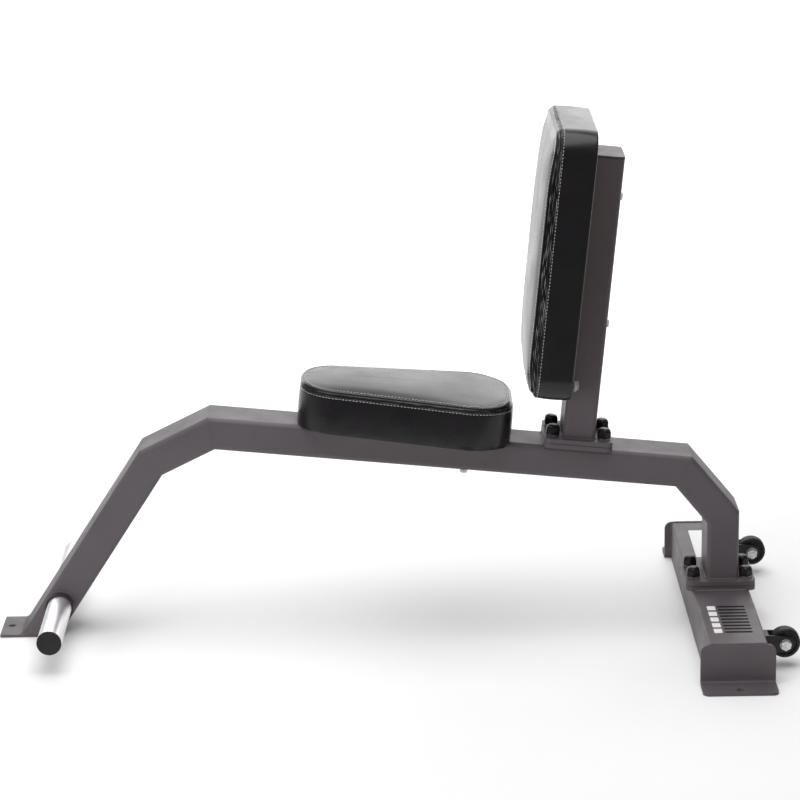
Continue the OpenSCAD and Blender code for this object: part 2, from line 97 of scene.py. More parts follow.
def make_world():
    """White behind the object, with a softer grey fill on it."""
    world = bpy.data.worlds.new("studio")
    scene.world = world
    world.use_nodes = True
    tree = world.node_tree
    tree.nodes.clear()
    fill = tree.nodes.new("ShaderNodeBackground")
    fill.inputs["Color"].default_value = (1, 1, 1, 1)
    fill.inputs["Strength"].default_value = WORLD_FILL
    seen = tree.nodes.new("ShaderNodeBackground")
    seen.inputs["Color"].default_value = (1, 1, 1, 1)
    path = tree.nodes.new("ShaderNodeLightPath")
    mix = tree.nodes.new("ShaderNodeMixShader")
    out = tree.nodes.new("ShaderNodeOutputWorld")
    tree.links.new(path.outputs["Is Camera Ray"], mix.inputs["Fac"])
    tree.links.new(fill.outputs[0], mix.inputs[1])
    tree.links.new(seen.outputs[0], mix.inputs[2])
    tree.links.new(mix.outputs[0], out.inputs["Surface"])


def area_light(name, at, look_at, width, depth, watts, glossy=True):
    """A rectangular light that the camera does not see; without glossy it makes no highlights."""
    data = bpy.data.lights.new(name, "AREA")
    data.shape = "RECTANGLE"
    data.size = width
    data.size_y = depth
    data.energy = watts
    light = bpy.data.objects.new(name, data)
    light.location = at
    light.rotation_mode = "QUATERNION"
    light.rotation_quaternion = (Vector(look_at) - Vector(at)).to_track_quat("-Z", "Y")
    light.visible_camera = False
    light.visible_glossy = glossy
    scene.collection.objects.link(light)


make_world()
area_light("overhead_softbox", (0.35, -0.2, 3.4), (0, 0, 0.3), 3.4, 3.6, 116)
area_light("far_panel", (-3.6, 0.0, 1.7), (0, 0, 0.6), 5.2, 2.2, 64)
area_light("high_panel", (-2.7, 0.0, 3.2), (0, 0, 0.6), 4.0, 1.5, 22)
area_light("front_key", (3.2, -2.7, 0.5), (0, 0, 0.45), 0.55, 2.4, 74, glossy=False)

# ---- materials


class Shader:
    """A material with a Principled surface and a few shorthands for its nodes."""

    def __init__(self, name, colour, roughness, metallic=0.0):
        self.material = bpy.data.materials.new(name)
        self.material.use_nodes = True
        self.tree = self.material.node_tree
        self.surface = self.tree.nodes["Principled BSDF"]
        self.set("Base Color", (*colour, 1))
        self.set("Roughness", roughness)
        self.set("Metallic", metallic)
        self.place = self.tree.nodes.new("ShaderNodeTexCoord").outputs["Object"]

    def set(self, socket, value):
        """Gives one of the surface's sockets a fixed value."""
        self.surface.inputs[socket].default_value = value

    def link(self, source, target):
        self.tree.links.new(source, target)

    def noise(self, scale, detail=2.0, stretch=None):
        """Cloudy values; stretch scales the place along each axis first."""
        place = self.place
        if stretch:
            mapping = self.tree.nodes.new("ShaderNodeMapping")
            mapping.inputs["Scale"].default_value = stretch
            self.link(place, mapping.inputs["Vector"])
            place = mapping.outputs["Vector"]
        texture = self.tree.nodes.new("ShaderNodeTexNoise")
        texture.inputs["Scale"].default_value = scale
        texture.inputs["Detail"].default_value = detail
        self.link(place, texture.inputs["Vector"])
        return texture.outputs["Fac"]

    def cells(self, scale):
        """Soft rounded cells, lowest in their middles."""
        texture = self.tree.nodes.new("ShaderNodeTexVoronoi")
        texture.feature = "SMOOTH_F1"
        texture.inputs["Scale"].default_value = scale
        texture.inputs["Smoothness"].default_value = 0.4
        self.link(self.place, texture.inputs["Vector"])
        return texture.outputs["Distance"]

    def attribute(self, name):
        """A number that the mesh holds for each point."""
        node = self.tree.nodes.new("ShaderNodeAttribute")
        node.attribute_name = name
        return node.outputs["Fac"]

    def ramp(self, value, low, high, at_low=0.3, at_high=0.7):
        """A colour from low to high as value goes from at_low to at_high."""
        node = self.tree.nodes.new("ShaderNodeValToRGB")
        first, last = node.color_ramp.elements
        first.position, last.position = at_low, at_high
        first.color, last.color = (*low, 1), (*high, 1)
        self.link(value, node.inputs["Fac"])
        return node.outputs["Color"]

    def span(self, value, low, high, at_low=0.3, at_high=0.7):
        """A number from low to high as value goes from at_low to at_high."""
        node = self.tree.nodes.new("ShaderNodeMapRange")
        for socket, number in zip(("From Min", "From Max", "To Min", "To Max"), (at_low, at_high, low, high)):
            node.inputs[socket].default_value = number
        self.link(value, node.inputs["Value"])
        return node.outputs["Result"]

    def mix(self, factor, first, second, blend="MIX"):
        """Two colours mixed; each argument is a value or another node's output."""
        node = self.tree.nodes.new("ShaderNodeMix")
        node.data_type = "RGBA"
        node.blend_type = blend
        sockets = node.inputs["Factor"], node.inputs[6], node.inputs[7]
        for socket, value in zip(sockets, (factor, first, second)):
            if isinstance(value, (int, float, tuple)):
                socket.default_value = value
            else:
                self.link(value, socket)
        return node.outputs[2]

    def colour(self, source):
        self.link(source, self.surface.inputs["Base Color"])

    def roughness(self, source):
        self.link(source, self.surface.inputs["Roughness"])

    def bumps(self, *layers, edge=0.0):
        """Stacks bump layers of (height, depth in metres, strength) on softened edges of that radius."""
        normal = None
        if edge:
            bevel = self.tree.nodes.new("ShaderNodeBevel")
            bevel.samples = 4
            bevel.inputs["Radius"].default_value = edge
            normal = bevel.outputs["Normal"]
        for height, depth, strength in layers:
            bump = self.tree.nodes.new("ShaderNodeBump")
            bump.inputs["Strength"].default_value = strength
            bump.inputs["Distance"].default_value = depth
            self.link(height, bump.inputs["Height"])
            if normal:
                self.link(normal, bump.inputs["Normal"])
            normal = bump.outputs["Normal"]
        self.link(normal, self.surface.inputs["Normal"])


def shade(colour, factor):
    """The colour made darker or lighter by a factor."""
    return tuple(c * factor for c in colour)


def powder_coat(name, colour, roughness):
    """Satin powder coat: fine orange peel, faint flecks and slow changes of tone."""
    s = Shader(name, colour, roughness)
    slow = s.ramp(s.noise(5, 3), shade(colour, 0.92), shade(colour, 1.10))
    fleck = s.ramp(s.noise(2600, 1), (0.90, 0.90, 0.90), (1.12, 1.12, 1.12), 0.35, 0.65)
    s.colour(s.mix(1.0, slow, fleck, "MULTIPLY"))
    s.roughness(s.span(s.noise(22, 4), roughness - 0.05, roughness + 0.07))
    s.bumps((s.noise(700, 3), 0.00012, 0.5), (s.noise(9, 2), 0.0008, 0.10), edge=1.2 * MM)
    s.set("Specular IOR Level", 0.36)
    return s.material


# Pale colour painted on the crests of the backrest band's creases as a highlight (glint).
PAINTED_GLINT_COLOUR = (0.50, 0.49, 0.51, 1)


def leatherette(name):
    """Black coated vinyl: pebbled grain, soft gloss with duller patches, and a painted pale highlight on the
    crests of sharp creases.
    """
    colour = (0.0064, 0.0052, 0.0064)
    s = Shader(name, colour, 0.27)
    tone = s.ramp(s.noise(14, 4), shade(colour, 0.8), shade(colour, 1.5))
    pebble = s.cells(620)
    grain = s.mix(0.35, tone, s.ramp(pebble, shade(colour, 1.6), shade(colour, 0.6), 0.1, 0.6))
    # painted highlight: the crease crests turn pale where the mesh's stored glint attribute is high
    s.colour(s.mix(s.attribute("painted_glint"), grain, PAINTED_GLINT_COLOUR))
    s.roughness(s.span(s.noise(11, 5), 0.22, 0.33))
    s.bumps((pebble, 0.00018, 0.24), (s.noise(1500, 2), 0.00006, 0.2), (s.noise(36, 3), 0.0006, 0.10))
    s.set("IOR", 1.44)
    return s.material


def pale_tuck_surface(name):
    """Pale grey matt surface of small soft cells and cloudy tone, for the lumps behind the backrest's lower
    corners.
    """
    colour = (0.27, 0.265, 0.275)
    s = Shader(name, colour, 0.85)
    loops = s.cells(900)
    tone = s.ramp(s.noise(90, 4), shade(colour, 0.75), shade(colour, 1.2))
    s.colour(s.mix(0.4, tone, s.ramp(loops, shade(colour, 1.3), shade(colour, 0.6), 0.1, 0.6)))
    s.bumps((loops, 0.0003, 0.5), (s.noise(260, 3), 0.0006, 0.3))
    return s.material


def polished_chrome(name):
    """Satin chromed tube: bright, with drawn streaks along its length and uneven haze."""
    s = Shader(name, (0.92, 0.90, 0.92), 0.38, 0.92)
    streak = s.noise(60, 3, (0.12, 1.0, 1.0))
    s.colour(s.ramp(streak, (0.80, 0.78, 0.80), (0.97, 0.95, 0.97)))
    s.roughness(s.span(s.noise(18, 4), 0.33, 0.44))
    s.bumps((streak, 0.0005, 0.10), (s.noise(900, 2), 0.00004, 0.15))
    return s.material


def zinc_plate(name):
    """Zinc-plated steel: grey, slightly cloudy, fine brushed grain."""
    s = Shader(name, (0.60, 0.60, 0.62), 0.32, 1.0)
    s.colour(s.ramp(s.noise(160, 4), (0.46, 0.46, 0.48), (0.74, 0.73, 0.72)))
    s.roughness(s.span(s.noise(300, 3), 0.24, 0.46))
    s.bumps((s.noise(1800, 2), 0.00006, 0.35), edge=0.5 * MM)
    return s.material


def moulded_plastic(name, colour, roughness):
    """Moulded plastic: fine spark-eroded texture and a soft sheen on its edges."""
    s = Shader(name, colour, roughness)
    s.colour(s.ramp(s.noise(60, 3), shade(colour, 0.8), shade(colour, 1.3)))
    s.roughness(s.span(s.noise(120, 3), roughness - 0.06, roughness + 0.10))
    s.bumps((s.noise(2200, 2), 0.00008, 0.35), edge=0.8 * MM)
    s.set("Specular IOR Level", 0.3)
    return s.material


def birch_plywood(name):
    """Birch board: pale figure drawn out along one way, open pores."""
    s = Shader(name, (0.62, 0.45, 0.28), 0.62)
    figure = s.noise(28, 6, (1.0, 0.12, 0.12))
    pores = s.noise(900, 2, (1.0, 0.05, 0.05))
    tone = s.ramp(figure, (0.46, 0.31, 0.17), (0.70, 0.53, 0.34))
    s.colour(s.mix(0.25, tone, s.ramp(pores, (0.30, 0.19, 0.10), (0.75, 0.58, 0.38))))
    s.roughness(s.span(pores, 0.55, 0.75))
    s.bumps((pores, 0.0001, 0.4), (figure, 0.0003, 0.3), edge=0.8 * MM)
    return s.material


def sewing_thread(name):
    """Twisted off-white thread."""
    s = Shader(name, (0.62, 0.61, 0.60), 0.65)
    twist = s.noise(2400, 2)
    s.colour(s.ramp(twist, (0.42, 0.41, 0.40), (0.74, 0.73, 0.72)))
    s.bumps((twist, 0.00015, 0.6))
    return s.material


def printed_film(name, colour, roughness, gloss=0.3):
    """Adhesive film printed in one plain colour, slightly uneven and rubbed."""
    s = Shader(name, colour, roughness)
    s.set("Specular IOR Level", gloss)
    rub = s.noise(340, 4)
    s.colour(s.ramp(rub, shade(colour, 0.86), shade(colour, 1.04), 0.25, 0.55))
    s.roughness(s.span(s.noise(90, 3), roughness - 0.05, roughness + 0.10))
    s.bumps((s.noise(1200, 2), 0.00005, 0.3))
    return s.material


LOOKS = {
    "frame_paint": powder_coat("frame_paint_look", (0.092, 0.0800, 0.0870), 0.46),
    "black_paint": powder_coat("black_paint_look", (0.022, 0.021, 0.022), 0.42),
    "vinyl": leatherette("vinyl_look"),
    "plywood": birch_plywood("plywood_look"),
    "chrome": polished_chrome("chrome_look"),
    "zinc": zinc_plate("zinc_look"),
    "black_plastic": moulded_plastic("black_plastic_look", (0.010, 0.009, 0.010), 0.34),
    "wheel_rubber": moulded_plastic("wheel_rubber_look", (0.010, 0.0095, 0.010), 0.42),
}
THREAD = sewing_thread("thread_look")
WHITE_FILM = printed_film("white_film_look", (0.80, 0.80, 0.80), 0.45)
BLACK_FILM = printed_film("black_film_look", (0.006, 0.005, 0.006), 0.62, 0.08)

for entry in frame["record"]["subparts"]:
    node = nodes[entry["node"]]
    node.data.materials.clear()
    node.data.materials.append(LOOKS[entry["material_slot"]])


def floor_material():
    """Matt pale floor that turns into a lit white sweep behind the object."""
    s = Shader("studio_floor_look", (0.90, 0.90, 0.90), 0.8)
    s.colour(s.ramp(s.noise(1.5, 3), (0.89, 0.89, 0.89), (0.91, 0.91, 0.91)))
    s.set("Specular IOR Level", 0.15)
    axes = s.tree.nodes.new("ShaderNodeSeparateXYZ")
    s.link(s.place, axes.inputs[0])
    glow = s.tree.nodes.new("ShaderNodeEmission")
    glow.inputs["Strength"].default_value = SWEEP_GLOW
    mix = s.tree.nodes.new("ShaderNodeMixShader")
    s.link(s.span(axes.outputs["X"], 0, 1, SWEEP_FROM, SWEEP_TO), mix.inputs["Fac"])
    s.link(s.surface.outputs[0], mix.inputs[1])
    s.link(glow.outputs[0], mix.inputs[2])
    s.link(mix.outputs[0], s.tree.nodes["Material Output"].inputs["Surface"])
    return s.material


def make_floor():
    """One flat sheet just under the object, which reaches far behind it."""
    mesh = bpy.data.meshes.new("studio_floor")
    corners = [(x, y, -FLOOR_DROP) for x in (FLOOR_FAR, FLOOR_NEAR) for y in (-FLOOR_SIDE, FLOOR_SIDE)]
    mesh.from_pydata(corners, [], [(0, 2, 3, 1)])
    mesh.materials.append(floor_material())
    floor = bpy.data.objects.new("studio_floor", mesh)
    scene.collection.objects.link(floor)


make_floor()

# ---- frames of reference

BEAM_FALL = math.radians(5.74)
LEG_SLOPE = math.radians(56.8)
LEG_UP = Vector((0, math.cos(LEG_SLOPE), math.sin(LEG_SLOPE)))
ALONG = Vector((0, math.cos(BEAM_FALL), -math.sin(BEAM_FALL)))
ABOVE = Vector((0, math.sin(BEAM_FALL), math.cos(BEAM_FALL)))
ACROSS = Vector((1, 0, 0))
FLANGE_T = 9 * MM
POST_PLATE_L, LEG_PLATE_L = 125 * MM, 129 * MM
POST_BOLTS, LEG_BOLTS = 95 * MM, 98 * MM
POST_S = 674 * MM
TUBE_W, TUBE_D, TUBE_R = 100 * MM, 60 * MM, 9 * MM
POST_FRONT = POST_S - TUBE_D / 2


def middle(node):
    """The middle of a node's box."""
    low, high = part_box(node)
    return (low + high) / 2


beam_zero = middle("post_mount_plate") - ABOVE * FLANGE_T / 2 - ALONG * POST_S


def on_beam(x, s, n):
    """A point x across the bench, s back along the beam from its front bend and n above its top face."""
    return beam_zero + ACROSS * x + ALONG * s + ABOVE * n


# ---- mesh helpers


def piece(name, points, faces, look, body="frame", smooth=True):
    """A mesh object that rides on a body."""
    mesh = bpy.data.meshes.new(name)
    mesh.from_pydata([tuple(p) for p in points], [], faces)
    mesh.polygons.foreach_set("use_smooth", [smooth] * len(mesh.polygons))
    mesh.materials.append(look)
    made = bpy.data.objects.new(name, mesh)
    scene.collection.objects.link(made)
    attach(made, body)
    return made


def smoothstep(t):
    """0 up to t = 0, 1 from t = 1 and a smooth ramp between them."""
    t = min(max(t, 0.0), 1.0)
    return t * t * (3 - 2 * t)


def arc(centre, radius, start, end, count):
    """Points and outward normals on an arc, in degrees."""
    for k in range(count + 1):
        a = math.radians(start + (end - start) * k / count)
        n = Vector((math.cos(a), math.sin(a)))
        yield Vector(centre) + n * radius, n


def distances(line):
    """How far along a line each of its points is."""
    out = [0.0]
    for a, b in zip(line, line[1:]):
        out.append(out[-1] + (b - a).length)
    return out


def spots_along(line, pitch, number):
    """Spots on a line, a pitch apart: the index of the point before each, and its share of the way on."""
    lengths = distances(line)
    k = 0
    for i in range(number):
        target = pitch * i
        while k < len(lengths) - 2 and lengths[k + 1] < target:
            k += 1
        span = lengths[k + 1] - lengths[k]
        yield k, (target - lengths[k]) / span if span > 0 else 0.0


def resample(points, normals, count):
    """The closed outline as count points at equal distances with normals, and its length."""
    closed = points + points[:1]
    turned = normals + normals[:1]
    length = distances(closed)[-1]
    out = []
    for k, t in spots_along(closed, length / count, count):
        out.append((closed[k].lerp(closed[k + 1], t), turned[k].lerp(turned[k + 1], t).normalized()))
    return out, length


def arcs(corners, count):
    """Points and normals of arcs one after another, each (centre, radius, start, end)."""
    pairs = [pair for corner in corners for pair in arc(*corner, count)]
    return [p for p, _ in pairs], [n for _, n in pairs]


def rounded_rectangle(width, depth, radius):
    """Outline points and normals, counter-clockwise, about the middle."""
    x, y = width / 2 - radius, depth / 2 - radius
    centres = (x, y), (-x, y), (-x, -y), (x, -y)
    return arcs([(at, radius, 90 * k, 90 * k + 90) for k, at in enumerate(centres)], 8)


def tapered_outline(w0, w1, length, r0, r1):
    """Trapezium with round corners, w0 wide at y = 0 and w1 wide at y = length."""
    rise = (w1 - w0) / 2
    taper = math.degrees(math.atan(rise / length))
    lean = math.cos(math.radians(taper))
    c0 = w0 / 2 + rise * r0 / length - r0 / lean
    c1 = w0 / 2 + rise * (length - r1) / length - r1 / lean
    corners = [
        ((c0, r0), r0, -90, -taper),
        ((c1, length - r1), r1, -taper, 90),
        ((-c1, length - r1), r1, 90, 180 + taper),
        ((-c0, r0), r0, 180 + taper, 270),
    ]
    return arcs(corners, 24)


def ring_faces(rings, around, closed=False):
    """Faces between rings of points laid one after another; closed joins the last ring to the first."""
    faces = []
    for r in range(rings if closed else rings - 1):
        here, there = r * around, (r + 1) % rings * around
        for k in range(around):
            j = (k + 1) % around
            faces.append((here + k, here + j, there + j, there + k))
    return faces


def end_faces(rings, around):
    """The two faces that close the first and the last of such rings."""
    return [tuple(reversed(range(around))), tuple(range((rings - 1) * around, rings * around))]


def tube_along(path, radius_at, sides=8, closed=True):
    """Points and faces of a tube round a path; radius_at(distance) gives its radius."""
    count = len(path)
    points, faces = [], []
    travelled = 0.0
    for i, here in enumerate(path):
        back = path[i - 1] if closed or i else here
        ahead = path[(i + 1) % count] if closed or i < count - 1 else here
        way = (ahead - back).normalized()
        side = way.orthogonal() if not i else (side - way * side.dot(way))
        side.normalize()
        other = way.cross(side)
        travelled += (here - path[i - 1]).length if i else 0.0
        radius = radius_at(travelled)
        for k in range(sides):
            a = 2 * math.pi * k / sides
            points.append(here + (side * math.cos(a) + other * math.sin(a)) * radius)
    spans = count if closed else count - 1
    shift = 0
    if closed:
        last = points[-sides:]
        gaps = [sum((last[(k + j) % sides] - points[k]).length for k in range(sides)) for j in range(sides)]
        shift = gaps.index(min(gaps))
    for i in range(spans):
        turn = shift if closed and i == count - 1 else 0
        for k in range(sides):
            a, b = i * sides + (k + turn) % sides, i * sides + (k + 1 + turn) % sides
            c, d = (i + 1) % count * sides + (k + 1) % sides, (i + 1) % count * sides + k
            faces.append((a, b, c, d))
    if not closed:
        faces += end_faces(count, sides)
    return points, faces


def evenly(path, step, closed=True):
    """The path again, as points about one step apart."""
    line = path + path[:1] if closed else path
    length = distances(line)[-1]
    count = max(3, round(length / step))
    spots = spots_along(line, length / count, count if closed else count + 1)
    return [line[k].lerp(line[k + 1], t) for k, t in spots]


def joined_piece(name, parts, look):
    """Several (points, faces) lists as one piece on the frame."""
    points, faces = [], []
    for more_points, more_faces in parts:
        start = len(points)
        points.extend(more_points)
        faces.extend(tuple(start + v for v in face) for face in more_faces)
    return piece(name, points, faces, look)


# ---- welds

RIPPLE = 2.4 * MM
CHANNEL_BEND = 6 * MM
WELD_START = 12 * MM
FOOT_FILLET, FOOT_LEAST = 11 * MM, 0.2 * MM
FLANGE_BEAD, PLATE_BEAD, SLEEVE_BEAD, END_BEAD = 2.6 * MM, 3.4 * MM, 1.8 * MM, 2.2 * MM
WELD_STEP = 0.8 * MM


def weld_tube(path, radius, closed=True):
    """A weld bead: a tube with the small overlapping scallops of a hand-made weld."""
    dense = evenly([Vector(p) for p in path], WELD_STEP, closed)

    def radius_at(d):
        scallop = abs(math.sin(math.pi * d / RIPPLE))
        wander = noise.noise(Vector((d * 90, radius * 900, 3.1)))
        return radius * (0.90 + 0.14 * scallop + 0.12 * wander)

    return tube_along(dense, radius_at, 8, closed)


def outline_on(place, width, depth, radius):
    """The outline of a rounded rectangle through place(x, y)."""
    return [place(*p) for p in rounded_rectangle(width, depth, radius)[0]]


def tube_outline(place):
    """The outline of the frame's tube through place(x, y)."""
    return outline_on(place, TUBE_W, TUBE_D, TUBE_R)


def make_welds():
    """All the beads as one piece, painted with the frame."""
    leg_y, leg_foot = middle("rear_leg_tube").y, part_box("rear_leg_tube")[0].z
    parts = [
        weld_tube(tube_outline(lambda x, y: on_beam(x, POST_S + y, 2 * FLANGE_T)), FLANGE_BEAD),
        weld_tube(tube_outline(lambda x, y: Vector((x, leg_y + y, leg_foot))), FLANGE_BEAD),
    ]
    reach = TUBE_W / 2 - TUBE_R
    for s in (POST_S - POST_PLATE_L / 2, POST_S + POST_PLATE_L / 2):
        parts.append(weld_tube([on_beam(-reach, s, 0), on_beam(reach, s, 0)], FLANGE_BEAD, False))
    base_low, base_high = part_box("base_channel")
    flat = (base_high.y - base_low.y) / 2 - CHANNEL_BEND
    plate_y = middle("base_mount_plate").y
    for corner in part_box("base_mount_plate"):
        ends = [Vector((corner.x, y, base_high.z)) for y in (plate_y - flat, plate_y + flat)]
        parts.append(weld_tube(ends, PLATE_BEAD, False))
    parts.append(foot_fillet())
    parts.extend(sleeve_welds())
    parts.extend(end_plate_welds())
    joined_piece("weld_beads", parts, LOOKS["frame_paint"])


def foot_fillet():
    """The smooth concave weld in front of the front leg, on its foot plate."""
    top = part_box("front_foot_plate")[1].z
    cut = [v.co for v in nodes["front_leg_tube"].data.vertices if v.co.z < top + 0.05 * MM]
    low, high = min(v.y for v in cut), max(v.y for v in cut)
    centre, stretch = (low + high) / 2, (high - low) / TUBE_D
    points, normals = rounded_rectangle(TUBE_W, TUBE_D, TUBE_R)
    steps = 8
    rows = []
    for p, n in zip(points, normals):
        out = Vector((n.x, n.y / stretch, 0)).normalized()
        size = max(FOOT_FILLET * smoothstep(-1.2 * out.y), FOOT_LEAST)
        at = Vector((p.x, centre + p.y * stretch, top))
        base, wall = at + out * size, at + LEG_UP * size
        base.x = max(-TUBE_W / 2, min(base.x, TUBE_W / 2))
        row = []
        for k in range(steps + 1):
            t = k / steps
            row.append(base * (1 - t) ** 2 + (at + out * 0.3 * MM) * 2 * t * (1 - t) + wall * t * t)
        rows.append(row)
    return [row[k] for k in range(steps + 1) for row in rows], ring_faces(steps + 1, len(rows))


def sleeve_welds():
    """A ring round the peg sleeve on each side of the front leg."""
    low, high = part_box("peg_sleeve")
    centre = (low + high) / 2
    radius = (high.z - low.z) / 2
    rings = []
    for x in (-TUBE_W / 2, TUBE_W / 2):
        ring = [(x, *p) for p, _ in arc((centre.y, centre.z), radius, 0, 360, 48)]
        rings.append(weld_tube(ring[:-1], SLEEVE_BEAD))
    return rings


def end_plate_welds():
    """Beads over the channel where it meets each end plate."""
    low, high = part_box("base_channel")
    top = high.z - CHANNEL_BEND
    beads = []
    for x in (low.x, high.x):
        profile = [Vector((low.y, WELD_START)), Vector((low.y, top))]
        profile += [p for p, _ in arc((low.y + CHANNEL_BEND, top), CHANNEL_BEND, 170, 90, 8)]
        profile += [p for p, _ in arc((high.y - CHANNEL_BEND, top), CHANNEL_BEND, 90, 10, 8)]
        profile += [Vector((high.y, top)), Vector((high.y, WELD_START))]
        beads.append(weld_tube([(x, *p) for p in profile], END_BEAD, False))
    return beads


make_welds()

# ---- joint lines

POST_TOP = 549 * MM
CAP_T = 3 * MM
PLATE_R = 12 * MM
PLATE_LINE, CAP_LINE, LINE_STEP = 0.45 * MM, 0.8 * MM, 2 * MM


def dark_line(outline, radius):
    """A thin dark tube along a closed outline."""
    return tube_along(evenly(outline, LINE_STEP), lambda d: radius)


def make_joint_lines():
    """Dark lines where plates and the post's cap meet their neighbours."""
    width = 2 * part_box("post_flange")[1].x
    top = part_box("base_mount_plate")[1].z
    mid = middle("base_mount_plate")
    flange = outline_on(lambda x, y: on_beam(x, POST_S + y, FLANGE_T), width, POST_PLATE_L, PLATE_R)
    plate = outline_on(lambda x, y: Vector((x, mid.y + y, top)), width, LEG_PLATE_L, PLATE_R)
    cap = tube_outline(lambda x, y: on_beam(x, POST_S + y, POST_TOP - CAP_T))
    lines = [dark_line(flange, PLATE_LINE), dark_line(plate, PLATE_LINE), dark_line(cap, CAP_LINE)]
    joined_piece("joint_lines", lines, LOOKS["black_plastic"])


make_joint_lines()

# ---- upholstery

AROUND = 300
SPINE_SHARE = 0.42
SLOPE_AT, PANEL_STEP, PANEL_REACH = 2.2 * MM, 2.4 * MM, 26 * MM
PUCKER, SWELL, PLEAT = 0.45 * MM, 0.4 * MM, 0.7 * MM
SIM_FRAMES = 20
PRESSURE = 4.0
FIXED = ("under", "fold", "seam", "stitch")
SMOOTH_PASSES = 3
END_ROWS = 12
RIDGE_DEPTH = 1.5 * MM
RELAX_FROM = 5
RELAX_ROWS = 8
RELAX_SPREAD = 17 * MM
MOST_PUFF = {"top": 4.0 * MM, "side": 1.6 * MM, "band": 0.6 * MM}


class Pad:
    """A foam pad under vinyl, built as rings round its outline from under the board up to the crown.

    Local x is across, y runs along the pad and h is height over the board; place() puts them in the model.
    At both ends the seam sits lower and further in, by the (drop, reach, inset) of low_end and high_end: the
    drop grows over that reach along the pad. crown is (quick rise, slow rise, quick depth, quick depth at the
    ends), with depths as shares of the way to the spine. wave is (depth, length) of the creases in the band.
    """

    def __init__(self, name, node, outline, place, seam, stitch, crown, wave, low_end, high_end, second_row):
        self.name, self.node, self.place = name, node, place
        points, normals = tapered_outline(*outline)
        self.outline, self.perimeter = resample(points, normals, AROUND)
        w0, w1, length = outline[:3]
        self.spine = (w0 * SPINE_SHARE, length - w1 * SPINE_SHARE)
        self.seam, self.stitch, self.crown, self.wave, self.second_row = seam, stitch, crown, wave, second_row
        self.ends = []
        for p, n in self.outline:
            high = p.y > length / 2
            drop, reach, inset = high_end if high else low_end
            near = 1 - smoothstep((length - p.y if high else p.y) / reach)
            self.ends.append((near, drop * near, inset * smoothstep(abs(n.y))))
        self.rows, self.tags = [], []

    def row(self, tag, inset, height, inward=0.0, rise=0.0):
        """One ring; inward is 0 at that inset and 1 on the spine, rise is its share of the end shape."""
        ring = []
        for i, (p, n) in enumerate(self.outline):
            near, drop, more = self.ends[i]
            start = inset + more * rise
            # near the ends the roll of the seam turns into a slope, and the panel starts further in
            if tag == "seam":
                start += near * 0.9 * (SLOPE_AT - inset + height - self.seam)
            elif tag == "top":
                start += near * PANEL_STEP * (1 - smoothstep(inset / PANEL_REACH))
            flat = p - n * start
            core = Vector((0, min(max(flat.y, self.spine[0]), self.spine[1])))
            reach = (p - core).length
            spot = flat.lerp(core, inward)
            if callable(height):
                h = height((start + inward * (reach - start)) / reach, near, drop)
            else:
                h = height - drop * rise
            ring.append(Vector((spot.x, spot.y, h)))
        self.rows.append(ring)
        self.tags.append(tag)

    def build_rows(self):
        """All the rings, from under the board round its edge, up the side and over the seam to the crown."""
        lip, fold, tuck = 27 * MM, 4 * MM, 1.2 * MM
        for inward in (1.0, 0.66, 0.33, 0.0):
            self.row("under", lip, 1.2 * MM, inward)
        self.row("under", lip - 0.6 * MM, -0.4 * MM)
        for inset in (lip - 4 * MM, 19 * MM, 12 * MM):
            self.row("under", inset, -tuck)
        for turn in (0, 15, 30, 45, 60, 75, 90):
            a = math.radians(turn)
            self.row("fold", fold * (1 - math.sin(a)), fold * (1 - math.cos(a)) - tuck)
        low, high = fold + 2 * MM, self.stitch - 2.5 * MM
        steps = round((high - low) / (5 * MM))
        for k in range(steps + 1):
            t = k / steps
            self.row("side", -1.0 * MM * math.sin(math.pi * t), low + (high - low) * t)
        for inset, lift in ((0.3, -1.0), (0.9, 0.0), (0.3, 1.0)):
            self.row("stitch", inset * MM, self.stitch + lift * MM)
        low, high = self.stitch + 2.0 * MM, self.seam - 1.4 * MM
        steps = round((high - low) / (0.7 * MM))
        for k in range(steps + 1):
            t = k / steps
            inset = (0.2 + 1.4 * t - 0.7 * math.sin(math.pi * t)) * MM
            self.row("band", inset, low + (high - low) * t, 0.0, t)
        roll = ((2.4, -0.6), (3.0, 0.2), (1.7, 0.8), (1.1, 1.7), (1.5, 2.7), (2.8, 3.2), (3.8, 2.9))
        for inset, lift in roll:
            self.row("seam", inset * MM, self.seam + lift * MM, 0.0, 1.0)
        quick_rise, slow_rise, quick_depth, end_depth = self.crown
        start = self.seam + 2.6 * MM

        def over(depth, near, drop):
            sharp = quick_depth + (end_depth - quick_depth) * near
            quick = 1 - math.exp(-((max(depth - 7.5 * near * drop, 0) / sharp) ** 1.25))
            slow = math.sin(math.pi / 2 * min(depth, 1))
            return start - drop + (quick_rise + drop) * quick + slow_rise * slow

        insets, inner_rows = (4.6, 5.6, 6.8, 8.4, 10.4, 13, 16, 20, 25, 31), 12
        for inset in insets:
            self.row("top", inset * MM, over, 0.0, 1.0)
        for k in range(1, inner_rows + 1):
            self.row("top", insets[-1] * MM, over, k / inner_rows, 1.0)

    def build(self):
        """The mesh, with the doubled points on the two spines merged."""
        self.build_rows()
        points = [self.place(p) for ring in self.rows for p in ring]
        faces = ring_faces(len(self.rows), AROUND)
        self.object = piece(self.name, points, faces, LOOKS["vinyl"])
        mesh = self.object.data
        order = mesh.attributes.new("order", "INT", "POINT")
        order.data.foreach_set("value", range(len(points)))
        work = bmesh.new()
        work.from_mesh(mesh)
        last = (len(self.rows) - 1) * AROUND
        spines = [v for v in work.verts if v.index < AROUND or v.index >= last]
        bmesh.ops.remove_doubles(work, verts=spines, dist=0.05 * MM)
        work.to_mesh(mesh)
        work.free()
        numbers = [d.value for d in mesh.attributes["order"].data]
        self.index_at = {number: i for i, number in enumerate(numbers)}
        self.ring_of = [divmod(number, AROUND) for number in numbers]
        self.tag_of = [self.tags[k] for k, _ in self.ring_of]
        mesh.attributes.remove(mesh.attributes["order"])

